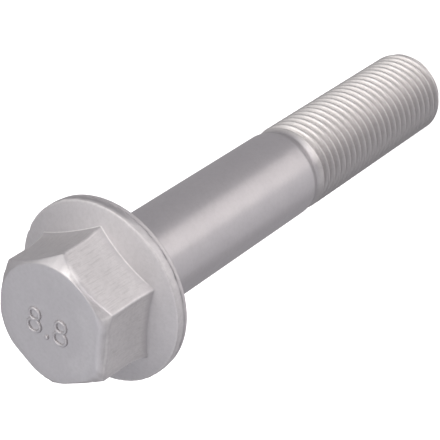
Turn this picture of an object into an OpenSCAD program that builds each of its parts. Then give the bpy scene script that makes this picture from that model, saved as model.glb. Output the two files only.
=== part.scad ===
// Hexagon flange bolt with a full shank and a rolled right-hand thread, forged and rolled in one piece.
// The origin is the centre of the bearing face under the flange, +Z points to the top of the head,
// and the shank runs down to the flat tail, on which the bolt stands.

/* [Thread] */
// Diameter over the thread crests
thread_d = 13.85; // [12.5:0.05:16]
// Distance from one crest to the next
thread_pitch = 1.5; // [1:0.25:2]
// Length from the tail end up to the end of the plain shank
thread_len = 39.2; // [25:0.1:50]
// Diameter of the flat tail end, inside its chamfer
tail_d = 10.8; // [8.5:0.1:11.4]
// Angle of the tail chamfer to the bolt's axis
tail_angle = 45; // [30:1:55]

/* [Shank] */
// Diameter of the plain shank
shank_d = 13.85; // [12.5:0.05:16]
// Length from the bearing face to the tail end
bolt_len = 80; // [65:1:120]
// Radius of the fillet under the flange
underhead_r = 0.6; // [0.4:0.1:1]
// Slope of the taper from the shank down to the neck
taper_angle = 18; // [10:1:45]

/* [Hexagon] */
// Width across the flats
across_flats = 18; // [16.5:0.1:20]
// Height of the head above the bearing face
head_h = 12.2; // [10:0.1:15]
// Diameter of the flat circle on top of the head
crown_d = 17.8; // [15:0.1:18]
// Angle of the corner chamfer to the top face
crown_angle = 46; // [25:1:50]
// Radius of the flare at the foot of the flats
flare_r = 1.6; // [1:0.1:4]
// How far the flare stands out from the flats
flare_out = 0.6; // [0.3:0.05:0.9]

/* [Flange] */
// Outside diameter of the flange
flange_d = 27.4; // [25.5:0.1:32]
// Thickness of the flange at its rim
rim_h = 2.1; // [1.8:0.1:3]
// Slope of the upper face of the flange
flange_slope = 18; // [10:1:22]
// Radius on the upper edge of the rim
rim_edge_r = 0.2; // [0.1:0.05:0.4]
// Height of the die seam above the bearing face
seam_z = 0.8; // [0.7:0.05:1]
// Depth of the die seam round the rim
seam_depth = 0.15; // [0.1:0.05:0.25]
// Radius on the lower edge of the rim
lip_edge_r = 0.35; // [0.1:0.05:0.4]

/* [Hidden] */
$fn = 96;
steel = "#b9b7b8";
overlap = 0.4;

// Metric thread form, as shares of the pitch: the neck lies at the pitch radius
crest_r = thread_d / 2;
neck_r = crest_r - 0.325 * thread_pitch;
root_r = crest_r - 0.613 * thread_pitch;
crest_share = 1 / 8;
root_share = 1 / 4;
flank_share = (1 - crest_share - root_share) / 2;
form_places = [0, crest_share, crest_share + flank_share, 1 - flank_share];
form_radii = [crest_r, crest_r, root_r, root_r];

// Run-out: the shank tapers to the neck, below which the blank swells and the first groove deepens
shank_end = thread_len - bolt_len;
taper_len = abs(shank_d / 2 - neck_r) / tan(taper_angle);
neck_end = shank_end - taper_len - 0.03 * thread_pitch;
start_r = neck_r - 0.04 * thread_pitch;
swell_r = crest_r - 0.05 * thread_pitch;
swell_len = 0.75 * thread_pitch;
groove_top = neck_end - 0.3 * thread_pitch;
run_len = thread_pitch;

// The helix starts inside the shank and runs past the tail, whose chamfer and end face cut it off
turn_steps = 36;
helix_top = shank_end + 0.675 * thread_pitch;
turns = ceil((helix_top + bolt_len) / thread_pitch) + 1;
steps = turns * turn_steps;
helix_end = helix_top - (turns + 1) * thread_pitch;

// Head: the flange cone and the flare of the hexagon, whose corners end on the cone
flange_r = flange_d / 2;
half_flats = across_flats / 2;
flare_sweep = acos(1 - flare_out / flare_r);
flare_steps = 5;
flare_base = rim_h + (flange_r - (half_flats + flare_out) / cos(30)) * tan(flange_slope);
flare_top = flare_base + flare_r * sin(flare_sweep);

// Rim: the upper edge is tangent to the cone, and the lip stands back from the rim below the seam
rim_edge_x = flange_r - rim_edge_r;
rim_edge_z = rim_h + rim_edge_r * (tan(flange_slope) - 1 / cos(flange_slope));
lip_r = flange_r - seam_depth / 2;
seam_r = flange_r - 1.5 * seam_depth;

// Smooth step from 0 to 1 over a length, downwards from height z0
function ease(z, z0, length) = let (t = max(0, min(1, (z0 - z) / length))) t * t * (3 - 2 * t);

// Radius at height z of the blank that the thread is rolled into
function blank_radius(z) = start_r + (swell_r - start_r) * ease(z, neck_end, swell_len);

// Point at step s round the helix, which sinks clockwise as a right-hand thread does
function turn_point(s, r, z) = let (turn = -360 * s / turn_steps) [r * cos(turn), r * sin(turn), z];

// Point of the thread's surface: step s along the helix, place p across the thread form
function thread_point(s, p) =
    let (z = helix_top - thread_pitch * (s / turn_steps + form_places[p]), r = blank_radius(z))
    turn_point(s, r + ease(z, groove_top, run_len) * (form_radii[p] - r), z);

// All the triangles of an outline, from its first corner
function fan(c) = [for (k = [1 : len(c) - 2]) [c[0], c[k], c[k + 1]]];

// Rolled thread as one closed surface, whose rows of points follow the helix
module helix() {
    row_count = 4 * (steps + 1);
    last = steps - turn_steps;
    function q(s, p) = 4 * s + p;
    function top(j) = row_count + j % turn_steps;
    function tail(j) = row_count + turn_steps + j % turn_steps;
    points = concat(
        [for (s = [0 : steps], p = [0 : 3]) thread_point(s, p)],
        [for (j = [0 : turn_steps - 1]) turn_point(j, start_r, helix_top + overlap)],
        [for (j = [0 : turn_steps - 1]) turn_point(j, root_r, helix_end)]);
    turn_faces = [for (s = [0 : steps - 1], p = [0 : 2])
        each fan([q(s, p), q(s, p + 1), q(s + 1, p + 1), q(s + 1, p)])];
    link_faces = [for (s = [0 : last - 1])
        each fan([q(s, 3), q(s + turn_steps, 0), q(s + turn_steps + 1, 0), q(s + 1, 3)])];
    top_faces = concat(
        [for (j = [0 : turn_steps - 2]) each fan([top(j), q(j, 0), q(j + 1, 0), top(j + 1)])],
        fan([q(turn_steps - 1, 0), q(turn_steps, 0), q(0, 3), q(0, 2), q(0, 1), q(0, 0),
             top(0), top(turn_steps - 1)]));
    tail_faces = concat(
        fan([q(last + 1, 3), q(last, 3), q(steps, 0), q(steps, 1), q(steps, 2), q(steps, 3),
             tail(0), tail(1)]),
        [for (j = [1 : turn_steps - 1])
            each fan([q(last + j, 3), tail(j), tail(j + 1), q(last + j + 1, 3)])]);
    caps = [[for (j = [0 : turn_steps - 1]) top(j)], [for (j = [turn_steps - 1 : -1 : 0]) tail(j)]];
    polyhedron(points, concat(turn_faces, link_faces, top_faces, tail_faces, caps), convexity = 4);
}

// Thread with its chamfered tail and flat end face
module thread() {
    clear_r = crest_r + overlap;
    intersection() {
        helix();
        rotate_extrude() polygon([[0, -bolt_len], [tail_d / 2, -bolt_len],
            [clear_r, -bolt_len + (clear_r - tail_d / 2) / tan(tail_angle)],
            [clear_r, helix_top + 2 * overlap], [0, helix_top + 2 * overlap]]);
    }
}

// Half section of the shank, with its fillet under the flange and its taper to the neck
module shank_section() {
    polygon([[0, rim_h / 2], [shank_d / 2, rim_h / 2], [shank_d / 2, shank_end],
             [neck_r, shank_end - taper_len], [neck_r, neck_end], [0, neck_end]]);
    difference() {
        translate([shank_d / 2 - overlap, -underhead_r]) square(underhead_r + overlap);
        translate([shank_d / 2 + underhead_r, -underhead_r]) circle(underhead_r);
    }
}

// Half section of the flange: cone, round-edged rim, die seam and round-edged lip
module flange_section() {
    polygon([[0, 0], [lip_r - lip_edge_r, 0], [lip_r, lip_edge_r], [lip_r, seam_z - seam_depth],
             [seam_r, seam_z], [flange_r, seam_z + seam_depth], [flange_r, rim_edge_z],
             [rim_edge_x + rim_edge_r * sin(flange_slope), rim_edge_z + rim_edge_r * cos(flange_slope)],
             [0, rim_h + flange_r * tan(flange_slope)]]);
    translate([rim_edge_x, rim_edge_z]) circle(rim_edge_r);
    translate([lip_r - lip_edge_r, lip_edge_r]) circle(lip_edge_r);
}

// Hexagon with its chamfered corners, on a foot that flares into the flange
module hexagon() {
    intersection() {
        translate([0, 0, rim_h]) cylinder(h = head_h - rim_h, d = across_flats / cos(30), $fn = 6);
        rotate_extrude() polygon([[0, 0], [flange_r, 0],
            [flange_r, head_h - (flange_r - crown_d / 2) * tan(crown_angle)],
            [crown_d / 2, head_h], [0, head_h]]);
    }
    rotate_extrude($fn = 6) scale([1 / cos(30), 1]) polygon(concat(
        [[0, rim_h], [half_flats + flare_out, rim_h]],
        [for (k = [flare_steps : -1 : 0]) let (sweep = flare_sweep * k / flare_steps)
            [half_flats + flare_r * (1 - cos(sweep)), flare_top - flare_r * sin(sweep)]],
        [[0, flare_top]]));
}

module bolt() {
    color(steel) union() {
        rotate_extrude() shank_section();
        rotate_extrude() flange_section();
        hexagon();
        thread();
    }
}

bolt();
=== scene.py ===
import math

import bpy
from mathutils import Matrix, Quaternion, Vector, noise


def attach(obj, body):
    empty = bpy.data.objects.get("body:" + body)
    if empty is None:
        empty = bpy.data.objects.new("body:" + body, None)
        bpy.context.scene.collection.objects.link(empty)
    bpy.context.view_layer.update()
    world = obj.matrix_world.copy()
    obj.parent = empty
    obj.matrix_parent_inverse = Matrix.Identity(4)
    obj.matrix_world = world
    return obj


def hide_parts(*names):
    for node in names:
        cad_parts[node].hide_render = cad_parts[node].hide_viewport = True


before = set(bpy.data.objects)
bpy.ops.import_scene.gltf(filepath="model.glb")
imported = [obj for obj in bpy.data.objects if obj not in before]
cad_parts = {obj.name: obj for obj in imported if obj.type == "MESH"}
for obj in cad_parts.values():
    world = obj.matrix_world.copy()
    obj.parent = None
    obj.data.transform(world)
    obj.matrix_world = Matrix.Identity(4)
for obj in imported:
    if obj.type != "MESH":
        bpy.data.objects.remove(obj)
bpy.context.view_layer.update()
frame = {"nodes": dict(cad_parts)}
print("frame loaded:", ", ".join(frame["nodes"]))

mm = 0.001
viewAzimuth = math.radians(-100)  # where the photo's camera stands round the bolt
toCamera = Vector((math.cos(viewAzimuth), math.sin(viewAzimuth), 0))
toSide = Vector((-math.sin(viewAzimuth), math.cos(viewAzimuth), 0))
upward = Vector((0, 0, 1))


def fromPhoto(front, side, up):
    return toCamera * front + toSide * side + upward * up


def smooth(t):
    t = max(0.0, min(1.0, t))
    return t * t * (3 - 2 * t)


def softMin(a, b, blend):
    return (a + b - math.hypot(a - b, blend)) / 2


def addObject(name, data):
    made = bpy.data.objects.new(name, data)
    bpy.context.collection.objects.link(made)
    return made


def plainMesh(made):  # the mesh that the object's modifiers leave
    return bpy.data.meshes.new_from_object(made.evaluated_get(bpy.context.evaluated_depsgraph_get()))


def mathNode(tree, operation, *values):
    node = tree.nodes.new("ShaderNodeMath")
    node.operation = operation
    for socket, value in zip(node.inputs, values):
        if isinstance(value, (int, float)):
            socket.default_value = value
        else:
            tree.links.new(value, socket)
    return node.outputs[0]


def rangeNode(tree, kind, value, low, high, outLow=0.0, outHigh=1.0):
    node = tree.nodes.new("ShaderNodeMapRange")
    node.interpolation_type = kind
    tree.links.new(value, node.inputs["Value"])
    for name, number in zip(("From Min", "From Max", "To Min", "To Max"), (low, high, outLow, outHigh)):
        node.inputs[name].default_value = number
    return node.outputs["Result"]


# sizes in millimetres, height 0 is the bearing face
headSizes = {
    "columns": 216,  # a multiple of 12, closer together near the six corners
    "columnStart": 0.15,
    "columnPower": 2.4,
    "halfFlats": 9.08,
    "cornerRound": 0.35,
    "cornerWear": 0.8,
    "cornerWearTurn": 1.4,  # degrees
    "top": 12.2,
    "topRings": (7.4, 6.2, 5, 3.8, 2.6, 1.3),
    "topPaintedLightFrom": 6,  # radius from which the top's outer ring gets painted light
    "crownRadius": 9.06,
    "crownShift": (-0.15, -0.17),  # the crown sits a little off the hexagon, as forged
    "crownRoom": 0.12,  # between the crown and the flats
    "crownBlend": 0.1,
    "crownRound": 0.2,
    "crownEdgeRubAndHighlight": (1, 0, 0, 0, 0),  # rubbed coat and painted highlight, over the rows of the rounded edge
    "chamferRate": 0.93,
    "chamferLean": 0.14,  # steeper on the side of the photo's camera
    "chamferBlend": 0.3,
    "chamferRound": 0.2,
    # rubbed coat and painted highlight, over the rows of the chamfer's edge
    "chamferEdgeRubAndHighlight": (1, 1, 1, 1, 1),
    "rollOver": 0.3,  # how deep the trimming die rolled the upper edge of the flats
    "rollLean": 0.16,
    "ragged": 0.12,
    "raggedTurns": 14,
    "wallRings": 6,
    "flareRadius": 14.0,  # the flats lean out gently towards their foot
    "flareTop": 7.0,
    "flareShares": (0.7, 0.45, 0.22, 0),
    "footRound": 0.14,
    "coneRings": 7,
    "coneStart": 0.4,  # inside the rim
}
softSizes = {  # what changes where the crown fades out
    "chamferEase": 0.4,
    "crownRound": 0.5,
    "crownLimit": 0.3,
    # rubbed coat and painted highlight on the edges where the crown fades out
    "crownEdgeRubAndHighlight": (0.4, 0.15, 0, 0, 0),
    "chamferEdgeRubAndHighlight": (0.5, 0.75, 1, 1, 1),
}
flangeSizes = {
    "radius": 13.7,
    "rimHeight": 2.1,
    "slope": math.tan(math.radians(18)),
    "edgeRound": 0.16,
    "edgeCone": 0.8,
    "rimFoot": 1,
    "rimRings": (1.25, 1.5),
    "lipRadius": 13.62,
    "lipRound": 0.3,
    "bearingRings": (8.6, 9.8, 11, 12.2),
    "seamHeight": 0.8,
    "seamRadius": 13.5,
    "seamHalf": 0.12,
    "seamRound": 0.06,
    "seamRimShare": 0.5,  # share of the rim's rubbed coat and painted highlight
    "nickDepth": 0.1,
    "nickSpan": 0.4,
    "nickStart": 0.1,
    "nickTurns": 20,
    "nickRise": 2.5,
    "nickFoot": 0.3,
    "nickReach": 13.4,
}
shankSizes = {
    "radius": 6.925,
    "fillet": 0.6,
    "filletRings": 5,
    "end": -40.6,
    "rings": 14,
    "neckRadius": 6.4,
    "neckEnd": -42.3,
    "neckShade": 0.3,
    "taperRings": 12,
}
threadSizes = {
    "pitch": 1.5,
    "crestRadius": 6.925,
    "rootRadius": 6.0055,
    "crestHalf": 1 / 16,  # share of the pitch
    "formRound": (0.03, 0.41),  # shares of the pitch, from the middle of the crest
    "start": -39.7875,  # height of the helix on the X axis
    "rise": 0.44,  # the blank swells below the neck before the first groove
    "riseLength": 1.1,
    "grooveStart": -42.8,
    "runOut": 1.4,
    "rowsPerPitch": 12,
    "firstRow": 0.6,
    "coatStart": 0.8,
    "paintedShadeStrength": 0.36,  # painted shade, darkest on the thread's shaded side
    "paintedShadeTurns": (35, 90),  # degrees: where it starts, and how far to its darkest
    "paintedShadeBack": 60,
    "tailRadius": 5.4,
    "tailRings": (1.2, 2.4, 3.6, 4.6),
    "tailEdge": 0.15,
    "tail": -80.0,
}

# stretches round the bolt, in degrees from the photo's camera: from, to, soft ends, strength
stretches = {
    # rubbed crown and chamfer edges, with painted highlight by turn
    "crownRubAndHighlight": [(12, 36, 9, 0.85), (-125, -11, 14, 0.38), (-27, -5, 8, 0.28), (-80, -30, 12, 0.4)],
    # painted light: the top's outer ring lighter on one side
    "topPaintedLight": [(-120, 10, 30, 0.12)],
    # painted light: flats lighter by turn
    "flatsPaintedLight": [(-80, -20, 6, 0.33), (-20, 40, 6, 0.1)],
    "footPaintedHighlight": [(-18, 105, 8, 0.65)],  # painted highlight: thin bright line at the foot of the upper flats
    # rubbed coat and painted highlight on the rim
    "rimRubAndHighlight": [(-115, 31, 14, 0.3), (-115, -8, 14, 0.15)],
    # painted shade on the flats
    "flatsPaintedShade": [(40, 100, 6, 0.08)],
    # painted shade on the rim
    "rimPaintedShade": [(20, 120, 14, 0.36)],
    # where the seam's painted shade is left out
    "seamShadeGap": [(-115, -22, 15, 0.75)],
    "softCrown": [(-125, -10, 18, 1)],  # the crown fades out towards the photo's right
    "narrowCrown": [(-85, -10, 18, 0.6)],  # millimetres
    "deepRoll": [(-78, -22, 22, 0.3)],  # millimetres
}

columnCount = headSizes["columns"]
evenAngles = [2 * math.pi * j / columnCount for j in range(columnCount)]
halfSector = math.pi / 6  # from a corner of the hexagon to the middle of a flat
crownOffset = fromPhoto(*headSizes["crownShift"], 0)
cornerLimit = 0.45  # share of a side that a rounded corner may take


def turnFrom(angle):  # degrees round the bolt from the photo's camera
    return math.degrees(angle - viewAzimuth + math.pi) % 360 - 180


def stretch(name, angle):
    turn = turnFrom(angle)
    return sum(
        strength * smooth((turn - low) / soft) * smooth((high - turn) / soft)
        for low, high, soft, strength in stretches[name]
    )


def zoneOf(flats=0, edges=0, seam=0, thread=0):  # numbers that the coat reads: lighter flats; rubbed coat and painted highlight; painted shade, also in the seam's groove; thread
    return flats, edges, seam, thread


# edgeZone: rubbed coat and painted highlight; seamZone: painted shade in the seam's groove
plainZone, edgeZone, seamZone, coneZone = zoneOf(), zoneOf(edges=0.4), zoneOf(seam=1), zoneOf(edges=0.14)


def cornerAngles():
    half = columnCount // 12
    even = headSizes["columnStart"]
    shares = [even * k / half + (1 - even) * (k / half) ** headSizes["columnPower"] for k in range(half + 1)]
    steps = [halfSector * share for share in shares]
    sector = steps + [2 * halfSector - s for s in reversed(steps[1:-1])]
    return [2 * halfSector * n + s for n in range(6) for s in sector]


def cornerGap(angle):  # angle to the nearest corner
    return abs((angle + halfSector) % (2 * halfSector) - halfSector)


def flatsRadius(angle, halfFlats):
    gap = cornerGap(angle)
    soft = headSizes["cornerRound"]
    centre = (halfFlats - soft) / math.cos(halfSector)
    if gap < math.atan2(soft * math.sin(halfSector), centre + soft * math.cos(halfSector)):
        return centre * math.cos(gap) + math.sqrt(soft**2 - (centre * math.sin(gap)) ** 2)
    return halfFlats / math.cos(halfSector - gap)


def coneHeight(radius):
    return flangeSizes["rimHeight"] + (flangeSizes["radius"] - radius) * flangeSizes["slope"]


def flarePoint(angle, sweep):
    radius = headSizes["flareRadius"]
    halfFlats = headSizes["halfFlats"] + radius * (1 - math.cos(sweep))
    return flatsRadius(angle, halfFlats), headSizes["flareTop"] - radius * math.sin(sweep)


def footSweep(angle):  # where the flare meets the flange
    low, high = 0.0, math.radians(60)
    for _ in range(40):
        middle = (low + high) / 2
        radius, height = flarePoint(angle, middle)
        low, high = (middle, high) if height > coneHeight(radius) else (low, middle)
    return low


def softCorner(before, corner, after, cut, limit=cornerLimit):  # five points round a corner
    corner, before, after = Vector(corner), Vector(before), Vector(after)
    inLength, outLength = (corner - before).length, (after - corner).length
    cut = min(cut, limit * inLength, limit * outLength)
    start = corner + (before - corner) * (cut / inLength)
    end = corner + (after - corner) * (cut / outLength)
    steps = (0, 0.25, 0.5, 0.75, 1)
    return [tuple(start * (1 - t) ** 2 + corner * (2 * t * (1 - t)) + end * t**2) for t in steps]


def crownReach(angle):
    return headSizes["crownRadius"] + crownOffset.dot((math.cos(angle), math.sin(angle), 0))


def crownPoint(angle, wall):  # where the top ends
    edge = wall - headSizes["crownRoom"] - stretch("narrowCrown", angle)
    return softMin(crownReach(angle), edge, headSizes["crownBlend"]), headSizes["top"]


def chamferPoint(angle, wall):  # where a flat ends below the chamfer
    facing = math.cos(angle - viewAzimuth)
    rate = headSizes["chamferRate"] + headSizes["chamferLean"] * facing
    ease = 1 - softSizes["chamferEase"] * stretch("softCrown", angle)
    drop = (wall - crownReach(angle)) * rate * ease
    roll = headSizes["rollOver"] + headSizes["rollLean"] * facing + stretch("deepRoll", angle)
    turns = headSizes["raggedTurns"]
    ragged = headSizes["ragged"] * noise.noise((math.cos(angle) * turns, math.sin(angle) * turns, 3))
    return wall, headSizes["top"] + softMin(-drop, -roll, headSizes["chamferBlend"]) + ragged


def edgeRows(points, name, angle):  # rounded edge whose rubbed coat and painted highlight fade where the crown does
    rubAndHighlight, soft = stretch("crownRubAndHighlight", angle), stretch("softCrown", angle)
    shares = [hard + (faded - hard) * soft for hard, faded in zip(headSizes[name], softSizes[name])]
    return [(r, z, 1, zoneOf(edges=rubAndHighlight * share)) for (r, z), share in zip(points, shares)]


def headColumn(angle):  # radius, height, share of the corner spacing and zone, from the cone to the top
    wall = flatsRadius(angle, headSizes["halfFlats"])
    foot = footSweep(angle)
    footPoint = flarePoint(angle, foot)
    flare = [flarePoint(angle, foot * share) for share in headSizes["flareShares"]]
    flatFoot, chamfer, crown = flare[-1], chamferPoint(angle, wall), crownPoint(angle, wall)
    coneEdge = flangeSizes["radius"] - headSizes["coneStart"]
    column = []
    for k in range(headSizes["coneRings"]):
        share = k / headSizes["coneRings"]
        radius = coneEdge + (footPoint[0] - coneEdge) * share
        column.append((radius, coneHeight(radius), share, coneZone))
    # painted highlight along the foot of the upper flats
    footZones = [plainZone] + [zoneOf(edges=stretch("footPaintedHighlight", angle))] * 3 + [plainZone]
    footEdge = softCorner((coneEdge, coneHeight(coneEdge)), footPoint, flare[0], headSizes["footRound"])
    column += [(r, z, 1, zone) for (r, z), zone in zip(footEdge, footZones)]
    worn = math.exp(-((cornerGap(angle) / math.radians(headSizes["cornerWearTurn"])) ** 2))
    # worn corners; painted light and painted shade on the flats by turn
    edges = max(headSizes["cornerWear"] * worn, stretch("flatsPaintedLight", angle))
    flatZone = zoneOf(1 - worn, edges, stretch("flatsPaintedShade", angle))
    column += [(r, z, 1, flatZone) for r, z in flare]
    for k in range(1, headSizes["wallRings"]):
        height = flatFoot[1] + (chamfer[1] - flatFoot[1]) * k / headSizes["wallRings"]
        column.append((wall, height, 1, flatZone))
    flatEdge = softCorner(flatFoot, chamfer, crown, headSizes["chamferRound"])
    column += edgeRows(flatEdge, "chamferEdgeRubAndHighlight", angle)
    soft = stretch("softCrown", angle)
    crownRound = headSizes["crownRound"] + softSizes["crownRound"] * soft
    limit = cornerLimit + softSizes["crownLimit"] * soft
    crownEdge = softCorner(chamfer, crown, (0, crown[1]), crownRound, limit)
    column += edgeRows(crownEdge, "crownEdgeRubAndHighlight", angle)
    # painted light on the top's outer ring
    topZone = zoneOf(edges=stretch("topPaintedLight", angle))
    for radius in headSizes["topRings"]:
        column.append((radius, crown[1], 1, topZone if radius > headSizes["topPaintedLightFrom"] else plainZone))
    return column


def threadRows():  # straight blank from the tail's centre up to the neck
    tail, top = threadSizes["tail"], shankSizes["neckEnd"]
    rows = [(radius, tail, plainZone) for radius in threadSizes["tailRings"]]
    rows.append((threadSizes["tailRadius"] - threadSizes["tailEdge"], tail, edgeZone))
    spacing = threadSizes["pitch"] / threadSizes["rowsPerPitch"]
    for k in range(math.floor((top - tail) / spacing)):
        height = tail + spacing * (k + threadSizes["firstRow"])
        grown = smooth((top - height) / threadSizes["coatStart"])
        shade = shankSizes["neckShade"] * (1 - grown)
        rows.append((threadSizes["crestRadius"], height, zoneOf(seam=shade, thread=grown)))
    return rows


def shankRows():  # soft taper up from the neck, shank and fillet
    neck, radius, fillet = shankSizes["neckRadius"], shankSizes["radius"], shankSizes["fillet"]
    low, end = shankSizes["neckEnd"], shankSizes["end"]
    rows = []
    for k in range(shankSizes["taperRings"] + 1):
        share = k / shankSizes["taperRings"]
        shade = shankSizes["neckShade"] * (1 - share)
        rows.append((neck + (radius - neck) * smooth(share), low + (end - low) * share, zoneOf(seam=shade)))
    for k in range(1, shankSizes["rings"]):
        rows.append((radius, end + (-fillet - end) * k / shankSizes["rings"], plainZone))
    for k in range(shankSizes["filletRings"] + 1):
        bend = math.pi / 2 * k / shankSizes["filletRings"]
        rows.append((radius + fillet * (1 - math.cos(bend)), -fillet + fillet * math.sin(bend), plainZone))
    return rows


def flangeRows():  # bearing face, lip, die seam and rim
    f = flangeSizes
    bearing = (f["bearingRings"][-1], 0)
    bottom, waist = (f["lipRadius"], 0), (f["lipRadius"], f["seamHeight"] - f["seamHalf"])
    seam, shoulder = (f["seamRadius"], f["seamHeight"]), (f["radius"], f["seamHeight"] + f["seamHalf"])
    rimTop, coneEdge = (f["radius"], f["rimHeight"]), f["radius"] - f["edgeCone"]
    waistEdge = softCorner(bottom, waist, seam, f["seamRound"])
    shoulderEdge = softCorner(seam, shoulder, rimTop, f["seamRound"])
    rows = [(radius, 0, plainZone) for radius in f["bearingRings"]]
    rows += [(*point, edgeZone) for point in softCorner(bearing, bottom, waist, f["lipRound"])]
    rows += [(*point, plainZone) for point in waistEdge[:3]]
    # painted shade in the die seam's groove
    rows += [(*point, seamZone) for point in (*waistEdge[3:], seam, *shoulderEdge[:2])]
    rows += [(*point, plainZone) for point in shoulderEdge[2:]]
    rows += [(f["radius"], height, plainZone) for height in f["rimRings"]]
    rimEdge = softCorner(shoulder, rimTop, (coneEdge, coneHeight(coneEdge)), f["edgeRound"])
    return rows + [(*point, edgeZone) for point in rimEdge]


def rimNick(radius, height, angle):  # small dents that the dies left along the seam
    f = flangeSizes
    if height <= f["nickFoot"] or radius <= f["nickReach"]:
        return 0
    place = (math.cos(angle) * f["nickTurns"], math.sin(angle) * f["nickTurns"], height * f["nickRise"])
    return max(0.0, noise.noise(place) - f["nickStart"]) * f["nickDepth"] / f["nickSpan"]


# painted shade on the thread's shaded side
def threadShade(angle):
    turn = turnFrom(angle)
    start, span = threadSizes["paintedShadeTurns"]
    fromBack = smooth((turn + 180) / threadSizes["paintedShadeBack"])
    return threadSizes["paintedShadeStrength"] * smooth((start - turn) / span) * fromBack


def lowerZone(zone, height, angle):
    # the rim: rubbed coat with painted highlight, and painted shade
    rimRubAndHighlightLevel = stretch("rimRubAndHighlight", angle)
    if zone == seamZone:  # the seam's painted shade is left out at turns -115 to -22
        return zoneOf(edges=flangeSizes["seamRimShare"] * rimRubAndHighlightLevel, seam=1 - stretch("seamShadeGap", angle))
    if zone == plainZone and height > flangeSizes["rimFoot"]:
        return zoneOf(edges=rimRubAndHighlightLevel, seam=stretch("rimPaintedShade", angle))
    flats, edges, seam, thread = zone
    return zoneOf(flats, edges, seam + thread * threadShade(angle), thread)


def buildBoltMesh():
    corners = cornerAngles()
    points, zones = [(0, 0, threadSizes["tail"])], [plainZone]
    for radius, height, zone in threadRows() + shankRows() + flangeRows():
        for angle in evenAngles:
            reach = radius - rimNick(radius, height, angle)
            points.append((reach * math.cos(angle), reach * math.sin(angle), height))
            zones.append(lowerZone(zone, height, angle))
    columns = [headColumn(angle) for angle in corners]
    for row in range(len(columns[0])):
        for even, corner, column in zip(evenAngles, corners, columns):
            radius, height, share, zone = column[row]
            angle = even + (corner - even) * smooth(share)
            points.append((radius * math.cos(angle), radius * math.sin(angle), height))
            zones.append(zone)
    points.append((0, 0, headSizes["top"]))
    zones.append(plainZone)
    rings = (len(points) - 2) // columnCount
    faces = []
    for j in range(columnCount):
        k = (j + 1) % columnCount
        faces.append((0, 1 + k, 1 + j))
        for i in range(rings - 1):
            low = 1 + i * columnCount
            faces.append((low + j, low + k, low + columnCount + k, low + columnCount + j))
        last = 1 + (rings - 1) * columnCount
        faces.append((last + j, last + k, len(points) - 1))
    mesh = bpy.data.meshes.new("boltBlank")
    mesh.from_pydata([tuple(c * mm for c in p) for p in points], [], faces)
    layer = mesh.attributes.new("coatZones", "FLOAT_COLOR", "POINT")
    layer.data.foreach_set("color", [c for zone in zones for c in zone])
    mesh.polygons.foreach_set("use_smooth", [True] * len(mesh.polygons))
    mesh.update()
    print("bolt blank:", rings, "rings,", len(faces), "faces")
    return mesh


threadInputs = {  # named inputs of the thread's tree, in millimetres
    "Pitch": threadSizes["pitch"],
    "Crest Radius": threadSizes["crestRadius"],
    "Root Radius": threadSizes["rootRadius"],
    "Start": threadSizes["start"],
    "Neck Radius": shankSizes["neckRadius"],
    "Neck End": shankSizes["neckEnd"],
    "Rise": threadSizes["rise"],
    "Rise Length": threadSizes["riseLength"],
    "Groove Start": threadSizes["grooveStart"],
    "Run Out": threadSizes["runOut"],
    "Tail Radius": threadSizes["tailRadius"],
    "Tail": threadSizes["tail"],
}


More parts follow.
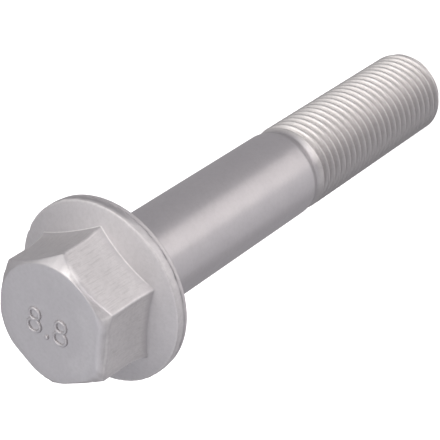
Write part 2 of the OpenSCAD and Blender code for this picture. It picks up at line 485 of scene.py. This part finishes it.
def threadRule(coat):  # rolls the thread into the blank: radius follows height and turn
    tree = bpy.data.node_groups.new("threadRule", "GeometryNodeTree")
    tree.interface.new_socket("Geometry", in_out="INPUT", socket_type="NodeSocketGeometry")
    sockets = {}
    for name in threadInputs:
        socket = tree.interface.new_socket(name, in_out="INPUT", socket_type="NodeSocketFloat")
        sockets[name] = socket.identifier
    tree.interface.new_socket("Geometry", in_out="OUTPUT", socket_type="NodeSocketGeometry")
    groupIn, groupOut = tree.nodes.new("NodeGroupInput"), tree.nodes.new("NodeGroupOutput")
    size = {name: groupIn.outputs[name] for name in threadInputs}

    def calc(operation, *values):
        return mathNode(tree, operation, *values)

    def ease(value, low=0.0, high=1.0):
        return rangeNode(tree, "SMOOTHSTEP", value, low, high)

    def vectorNode(operation, vector):
        node = tree.nodes.new("ShaderNodeVectorMath")
        node.operation = operation
        tree.links.new(vector, node.inputs[0])
        return node

    position = tree.nodes.new("GeometryNodeInputPosition").outputs[0]
    split = tree.nodes.new("ShaderNodeSeparateXYZ")
    tree.links.new(position, split.inputs[0])
    x, y, z = split.outputs
    turn = calc("DIVIDE", calc("ARCTAN2", y, x), 2 * math.pi)
    place = calc("ADD", calc("DIVIDE", calc("SUBTRACT", size["Start"], z), size["Pitch"]), turn)
    turnsAhead = 64  # keeps the count of turns above zero
    wave = calc("FRACT", calc("ADD", place, 0.5 - threadSizes["crestHalf"] + turnsAhead))
    fromCrest = calc("ABSOLUTE", calc("SUBTRACT", wave, 0.5))
    form = calc("SUBTRACT", 1, ease(fromCrest, *threadSizes["formRound"]))  # round crests and roots
    depth = calc("SUBTRACT", size["Crest Radius"], size["Root Radius"])
    formRadius = calc("ADD", size["Root Radius"], calc("MULTIPLY", form, depth))
    swell = ease(calc("DIVIDE", calc("SUBTRACT", size["Neck End"], z), size["Rise Length"]))
    blank = calc("ADD", size["Neck Radius"], calc("MULTIPLY", swell, size["Rise"]))
    grown = ease(calc("DIVIDE", calc("SUBTRACT", size["Groove Start"], z), size["Run Out"]))
    rolled = calc("ADD", blank, calc("MULTIPLY", grown, calc("SUBTRACT", formRadius, blank)))
    chamfer = calc("ADD", size["Tail Radius"], calc("SUBTRACT", z, size["Tail"]))
    level = vectorNode("MULTIPLY", position)
    level.inputs[1].default_value = (1, 1, 0)
    outward = vectorNode("NORMALIZE", level.outputs[0])
    spread = vectorNode("SCALE", outward.outputs[0])
    tree.links.new(calc("MINIMUM", rolled, chamfer), spread.inputs["Scale"])
    lift = tree.nodes.new("ShaderNodeCombineXYZ")
    tree.links.new(z, lift.inputs["Z"])
    target = vectorNode("ADD", spread.outputs[0])
    tree.links.new(lift.outputs[0], target.inputs[1])
    hair = 0.01 * mm
    belowNeck = calc("LESS_THAN", z, calc("SUBTRACT", size["Neck End"], hair))
    aboveTail = calc("GREATER_THAN", z, calc("ADD", size["Tail"], hair))
    move = tree.nodes.new("GeometryNodeSetPosition")
    tree.links.new(groupIn.outputs["Geometry"], move.inputs["Geometry"])
    tree.links.new(calc("MULTIPLY", belowNeck, aboveTail), move.inputs["Selection"])
    tree.links.new(target.outputs[0], move.inputs["Position"])
    realize = tree.nodes.new("GeometryNodeRealizeInstances")
    paint = tree.nodes.new("GeometryNodeSetMaterial")
    paint.inputs["Material"].default_value = coat
    tree.links.new(move.outputs[0], realize.inputs[0])
    tree.links.new(realize.outputs[0], paint.inputs["Geometry"])
    tree.links.new(paint.outputs[0], groupOut.inputs[0])
    return tree, sockets


coatLook = {  # sizes in millimetres
    "colour": (0.615, 0.60, 0.612),
    "blotchColour": (0.59, 0.575, 0.59),
    "blotchSize": 3.5,
    "blotchRange": (0.35, 0.7),
    # lighter coat for rubbed edges and for painted highlight
    "wearAndHighlightColour": (0.95, 0.933, 0.93),
    "wearAndHighlightCover": 0.9,
    "flatColour": (0.672, 0.66, 0.664),
    "threadColour": (0.745, 0.725, 0.715),
    "threadCover": 0.9,
    # painted light: the thread's grooves lighter than its crests
    "rootColour": (0.82, 0.80, 0.79),
    "rootRange": (6.8, 6.1),
    "streakColour": (0.50, 0.49, 0.49),
    "streakTurns": 55,
    "streakRise": 350,
    "streakRange": (0.5, 0.7),
    "streakShade": 0.6,
    "streakDepth": 8,
    "mottleSize": 0.55,
    "mottleRange": (0.42, 0.75),
    "mottleShade": 0.35,
    # painted shade, also in the seam's groove
    "paintedShadeColour": (0.36, 0.35, 0.36),
    "seamFull": 0.4,  # a zone number above this is the seam's painted shade, broken into patches
    "paintedShadeCover": 0.5,
    "patchSize": 1.2,
    "patchRange": (0.4, 0.6),
    "patchCover": 0.9,
    "metallic": 0.85,
    "headRough": 0.5,
    "flangeRough": 0.58,
    "shankRough": 0.36,  # the drawn shank is smoother
    "threadRough": 0.42,
    "headRise": (-0.5, 0.5),
    "hexagonRise": (4.5, 6),
    "blotchRough": 0.02,
    "blotchRoughRange": (0.3, 0.7),
    "grainRough": 0.08,
    "grainSize": 0.16,
    "grainStrength": 0.10,
    "grainDepth": 0.05,
}


def zincCoat():  # dull silver flake coat over forged and rolled steel
    look = coatLook
    coat = bpy.data.materials.new("zincCoat")
    coat.use_nodes = True
    tree = coat.node_tree
    nodes, links = tree.nodes, tree.links
    shader = nodes["Principled BSDF"]
    shader.inputs["Metallic"].default_value = look["metallic"]

    def calc(operation, *values):
        return mathNode(tree, operation, *values)

    def span(value, low, high, outLow=0.0, outHigh=1.0):
        return rangeNode(tree, "LINEAR", value, low, high, outLow, outHigh)

    def noiseNode(vector, scale, detail, rough=0.5):
        node = nodes.new("ShaderNodeTexNoise")
        node.inputs["Scale"].default_value = scale
        node.inputs["Detail"].default_value = detail
        node.inputs["Roughness"].default_value = rough
        links.new(vector, node.inputs["Vector"])
        return node.outputs["Fac"]

    def mixColour(factor, a, b):
        node = nodes.new("ShaderNodeMix")
        node.data_type = "RGBA"
        links.new(factor, node.inputs["Factor"])
        for socket, value in ((node.inputs[6], a), (node.inputs[7], b)):
            if isinstance(value, tuple):
                socket.default_value = (*value, 1)
            else:
                links.new(value, socket)
        return node.outputs[2]

    def combine(x, y):
        node = nodes.new("ShaderNodeCombineXYZ")
        links.new(x, node.inputs[0])
        links.new(y, node.inputs[1])
        return node.outputs[0]

    spot = nodes.new("ShaderNodeTexCoord").outputs["Object"]
    split = nodes.new("ShaderNodeSeparateXYZ")
    links.new(spot, split.inputs[0])
    x, y, z = split.outputs
    zones = nodes.new("ShaderNodeAttribute")
    zones.attribute_name = "coatZones"
    zoneSplit = nodes.new("ShaderNodeSeparateColor")
    links.new(zones.outputs["Color"], zoneSplit.inputs[0])
    # the third number is painted shade
    flats, edges, seam = zoneSplit.outputs
    thread = zones.outputs["Alpha"]
    grain = noiseNode(spot, 1 / (look["grainSize"] * mm), 3)
    blotch = noiseNode(spot, 1 / (look["blotchSize"] * mm), 5, 0.6)
    mottle = noiseNode(spot, 1 / (look["mottleSize"] * mm), 4, 0.65)
    patchy = noiseNode(spot, 1 / (look["patchSize"] * mm), 2)
    around = calc("MULTIPLY", calc("ARCTAN2", y, x), look["streakTurns"])
    streakSpot = combine(around, calc("MULTIPLY", z, look["streakRise"]))
    streak = noiseNode(streakSpot, 1.0, 3, 0.6)  # lines the trimming die drew down the flats
    reach = nodes.new("ShaderNodeVectorMath")  # distance from the bolt's axis
    reach.operation = "LENGTH"
    links.new(combine(x, y), reach.inputs[0])

    colour = mixColour(span(blotch, *look["blotchRange"]), look["colour"], look["blotchColour"])
    colour = mixColour(flats, colour, look["flatColour"])
    streakShade = calc("MULTIPLY", span(streak, *look["streakRange"], 0, look["streakShade"]), flats)
    colour = mixColour(streakShade, colour, look["streakColour"])
    # rubbed coat and painted highlight
    colour = mixColour(span(edges, 0, 1, 0, look["wearAndHighlightCover"]), colour, look["wearAndHighlightColour"])
    colour = mixColour(span(thread, 0, 1, 0, look["threadCover"]), colour, look["threadColour"])
    # painted light in the thread's grooves
    groove = span(reach.outputs["Value"], *[radius * mm for radius in look["rootRange"]])
    colour = mixColour(calc("MULTIPLY", groove, thread), colour, look["rootColour"])
    mottleShade = span(mottle, *look["mottleRange"], 0, look["mottleShade"])
    colour = mixColour(mottleShade, colour, look["streakColour"])
    # painted shade on the neck, the thread's shaded side, the flats and the rim, and in the seam's groove,
    # there broken into patches
    colour = mixColour(span(seam, 0, look["seamFull"], 0, look["paintedShadeCover"]), colour, look["paintedShadeColour"])
    patch = span(patchy, *look["patchRange"], 0, look["patchCover"])
    broken = calc("MULTIPLY", span(seam, look["seamFull"], 1), patch)
    colour = mixColour(broken, colour, look["paintedShadeColour"])
    links.new(colour, shader.inputs["Base Color"])

    onHead = span(z, *[height * mm for height in look["headRise"]])
    flangeMore, headMore = look["flangeRough"] - look["shankRough"], look["headRough"] - look["shankRough"]
    forged = span(z, *[height * mm for height in look["hexagonRise"]], flangeMore, headMore)
    rough = calc("ADD", calc("MULTIPLY", onHead, forged), look["shankRough"])
    rough = calc("ADD", rough, calc("MULTIPLY", thread, look["threadRough"] - look["shankRough"]))
    blotchRough = span(blotch, *look["blotchRoughRange"], -look["blotchRough"], look["blotchRough"])
    grainRough = calc("MULTIPLY", calc("SUBTRACT", grain, 0.5), look["grainRough"])
    links.new(calc("ADD", rough, calc("ADD", blotchRough, grainRough)), shader.inputs["Roughness"])

    streakHeight = calc("MULTIPLY", calc("SUBTRACT", streak, 0.5), flats)
    bump = nodes.new("ShaderNodeBump")
    bump.inputs["Strength"].default_value = look["grainStrength"]
    bump.inputs["Distance"].default_value = look["grainDepth"] * mm
    links.new(calc("ADD", grain, calc("MULTIPLY", streakHeight, look["streakDepth"])), bump.inputs["Height"])
    links.new(bump.outputs[0], shader.inputs["Normal"])
    return coat


coat = zincCoat()
print("coat made")

boltObject = addObject("boltSkin", buildBoltMesh())
tree, sizeSockets = threadRule(coat)
roll = boltObject.modifiers.new("threadRule", "NODES")
roll.node_group = tree
for name, value in threadInputs.items():
    roll[sizeSockets[name]] = value * mm
skin = plainMesh(boltObject)
boltObject.modifiers.remove(roll)
boltObject.data = skin
skin.name = "boltSkin"
print("thread rolled:", len(skin.polygons), "faces")

# plain raised number on the head, generic
numberSizes = {
    "height": 4.0,
    "spread": 0.57,  # shares of the height: middle of a digit, then place and half sizes of its rings
    "lowerRing": (-0.22, 0.27, 0.24),
    "upperRing": (0.24, 0.22, 0.21),
    "dot": (-0.44, 0.03, 0.03),
    "ringSteps": 40,
    "stroke": 0.48,
    "strokeSteps": 3,
    "raise": 0.3,
    "sink": 0.12,
    "voxel": 0.05,
    "centre": (-0.9, -0.1),
    "baseline": (0.655, -0.756),
}


def ringStroke(curve, x, y, wide, tall):
    scale, count = numberSizes["height"], numberSizes["ringSteps"]
    spline = curve.splines.new("POLY")
    spline.points.add(count - 1)
    for k, point in enumerate(spline.points):
        a = 2 * math.pi * k / count
        point.co = (scale * (x + wide * math.cos(a)), scale * (y + tall * math.sin(a)), 0, 1)
    spline.use_cyclic_u = True


def raisedNumber():
    n = numberSizes
    half = n["stroke"] / 2
    curve = bpy.data.curves.new("headNumber", "CURVE")
    curve.dimensions = "3D"
    curve.bevel_depth = half
    curve.bevel_resolution = n["strokeSteps"]
    for x in (-n["spread"], n["spread"]):
        ringStroke(curve, x, *n["lowerRing"])
        ringStroke(curve, x, *n["upperRing"])
    ringStroke(curve, 0, *n["dot"])
    strokes = addObject("headNumberStrokes", curve)
    mesh = plainMesh(strokes)
    bpy.data.objects.remove(strokes)
    number = addObject("headNumber", mesh)
    fuse = number.modifiers.new("fuse", "REMESH")
    fuse.mode, fuse.voxel_size, fuse.use_smooth_shade = "VOXEL", n["voxel"], True
    fused = plainMesh(number)
    number.modifiers.remove(fuse)
    number.data = fused
    baseline = fromPhoto(*n["baseline"], 0).normalized()
    upText = upward.cross(baseline)
    middle = fromPhoto(*n["centre"], headSizes["top"])
    for vertex in fused.vertices:
        x, y, z = vertex.co
        lift = -n["sink"] + (z + half) / (2 * half) * (n["raise"] + n["sink"])
        vertex.co = (middle + baseline * x + upText * y + upward * lift) * mm
    layer = fused.attributes.new("coatZones", "FLOAT_COLOR", "POINT")
    layer.data.foreach_set("color", list(plainZone) * len(fused.vertices))
    fused.materials.clear()
    fused.materials.append(coat)
    print("number raised:", len(fused.polygons), "faces")
    return number


number = raisedNumber()

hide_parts("bolt")
for piece in (boltObject, number):
    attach(piece, "root")

# pale floor, soft lights and the photo's camera
stageLook = {
    "floorSize": 6.0,
    "floorColour": (0.9, 0.9, 0.9),
    "floorRough": 0.9,
    "floorGlow": 0.9,
    "fibreScale": 300,
    "fibreShade": 0.985,
    "domeUp": 0.303,
    "domeLow": 0.401,
    "domeBlend": 0.35,
    "domeColour": (0.99, 0.96, 1.0),
    "lightSize": 0.36,
    "lightDistance": 0.5,
    "lightCentre": -25,  # millimetres
}
softLights = {  # turn from the photo's camera and height in degrees, power, colour
    "keyLight": (60, 60, 1.01, (1.0, 0.96, 0.93)),
    "backLight": (180, 60, 0.245, (0.89, 0.93, 1.0)),
    "rearLight": (240, 60, 0.26, (0.97, 0.97, 1.0)),
    "sideUpper": (90, 30, 0.323, (0.99, 1.0, 0.97)),
    "cheekUpper": (300, 40, 0.04, (1.0, 0.98, 1.0)),
    "frontLevel": (0, 0, 0.614, (1.0, 0.95, 0.94)),
    "faceLevel": (30, 0, 0.24, (1.0, 0.99, 0.99)),
    "rightFrontLevel": (300, 0, 0.163, (1.0, 0.99, 1.0)),
    "frontLower": (0, -42, 0.302, (1.0, 0.94, 0.91)),
    "rightFrontLower": (300, -42, 0.1, (1.0, 0.97, 0.99)),
    "rightFaceLower": (330, -42, 0.0619, (1.0, 0.98, 0.98)),
}
cameraPlace = {  # millimetres and degrees
    "front": 187.26,
    "up": 162.05,
    "aimSide": -0.92,
    "aimUp": -25.05,
    "roll": -123.4,
    "lens": 146.81,
    "sensor": 36,
}


def palePaper():
    paint = bpy.data.materials.new("palePaper")
    paint.use_nodes = True
    nodes, links = paint.node_tree.nodes, paint.node_tree.links
    shader = nodes["Principled BSDF"]
    shader.inputs["Roughness"].default_value = stageLook["floorRough"]
    shader.inputs["Specular IOR Level"].default_value = 0.0
    shader.inputs["Emission Color"].default_value = (1, 1, 1, 1)
    shader.inputs["Emission Strength"].default_value = stageLook["floorGlow"]
    place = nodes.new("ShaderNodeTexCoord")
    fibre = nodes.new("ShaderNodeTexNoise")
    fibre.inputs["Scale"].default_value = stageLook["fibreScale"]
    ramp = nodes.new("ShaderNodeValToRGB")
    dark, pale = ramp.color_ramp.elements
    dark.color = (*[c * stageLook["fibreShade"] for c in stageLook["floorColour"]], 1)
    pale.color = (*stageLook["floorColour"], 1)
    links.new(place.outputs["Object"], fibre.inputs["Vector"])
    links.new(fibre.outputs["Fac"], ramp.inputs["Fac"])
    links.new(ramp.outputs[0], shader.inputs["Base Color"])
    return paint


def paleFloor():
    half, height = stageLook["floorSize"] / 2, threadSizes["tail"] * mm
    corners = [(x * half, y * half, height) for x, y in ((-1, -1), (1, -1), (1, 1), (-1, 1))]
    mesh = bpy.data.meshes.new("floor")
    mesh.from_pydata(corners, [], [(0, 1, 2, 3)])
    mesh.materials.append(palePaper())
    floor = addObject("floor", mesh)
    floor.visible_glossy = False
    floor.visible_diffuse = False
    floor.visible_shadow = False


def softLight(name, turn, height, power, colour):
    light = bpy.data.lights.new(name, "AREA")
    light.size, light.energy, light.color = stageLook["lightSize"], power, colour
    lamp = addObject(name, light)
    turn, height = math.radians(turn), math.radians(height)
    level = math.cos(height)
    away = fromPhoto(level * math.cos(turn), level * math.sin(turn), math.sin(height))
    lamp.location = upward * (stageLook["lightCentre"] * mm) + away * stageLook["lightDistance"]
    lamp.rotation_mode = "QUATERNION"
    lamp.rotation_quaternion = away.to_track_quat("Z", "Y")
    lamp.visible_camera = False


def softDome():
    world = bpy.data.worlds.new("studio")
    world.use_nodes = True
    bpy.context.scene.world = world
    nodes, links = world.node_tree.nodes, world.node_tree.links
    dome = nodes["Background"]
    dome.inputs["Color"].default_value = (*stageLook["domeColour"], 1)
    towards = nodes.new("ShaderNodeTexCoord")
    split = nodes.new("ShaderNodeSeparateXYZ")
    links.new(towards.outputs["Generated"], split.inputs[0])
    blend, low, up = stageLook["domeBlend"], stageLook["domeLow"], stageLook["domeUp"]
    strength = rangeNode(world.node_tree, "SMOOTHSTEP", split.outputs[2], -blend, blend, low, up)
    links.new(strength, dome.inputs["Strength"])
    backdrop = nodes.new("ShaderNodeBackground")  # white behind the bolt in low views
    backdrop.inputs["Color"].default_value = (1, 1, 1, 1)
    rays = nodes.new("ShaderNodeLightPath")
    choose = nodes.new("ShaderNodeMixShader")
    links.new(rays.outputs["Is Camera Ray"], choose.inputs[0])
    links.new(dome.outputs[0], choose.inputs[1])
    links.new(backdrop.outputs[0], choose.inputs[2])
    links.new(choose.outputs[0], nodes["World Output"].inputs["Surface"])


def photoCamera():
    c = cameraPlace
    camera = addObject("camera", bpy.data.cameras.new("camera"))
    camera.data.sensor_width = c["sensor"]
    camera.data.lens = c["lens"]
    camera.data.clip_start, camera.data.clip_end = 0.01, 20
    camera.location = fromPhoto(c["front"], 0, c["up"]) * mm
    looking = fromPhoto(0, c["aimSide"], c["aimUp"]) * mm - camera.location
    camera.rotation_mode = "QUATERNION"
    lean = Quaternion((0, 0, 1), math.radians(c["roll"]))
    camera.rotation_quaternion = looking.to_track_quat("-Z", "Y") @ lean
    bpy.context.scene.camera = camera


paleFloor()
for name, setting in softLights.items():
    softLight(name, *setting)
softDome()
photoCamera()
bpy.context.scene.view_settings.view_transform = "Standard"
print("stage set")
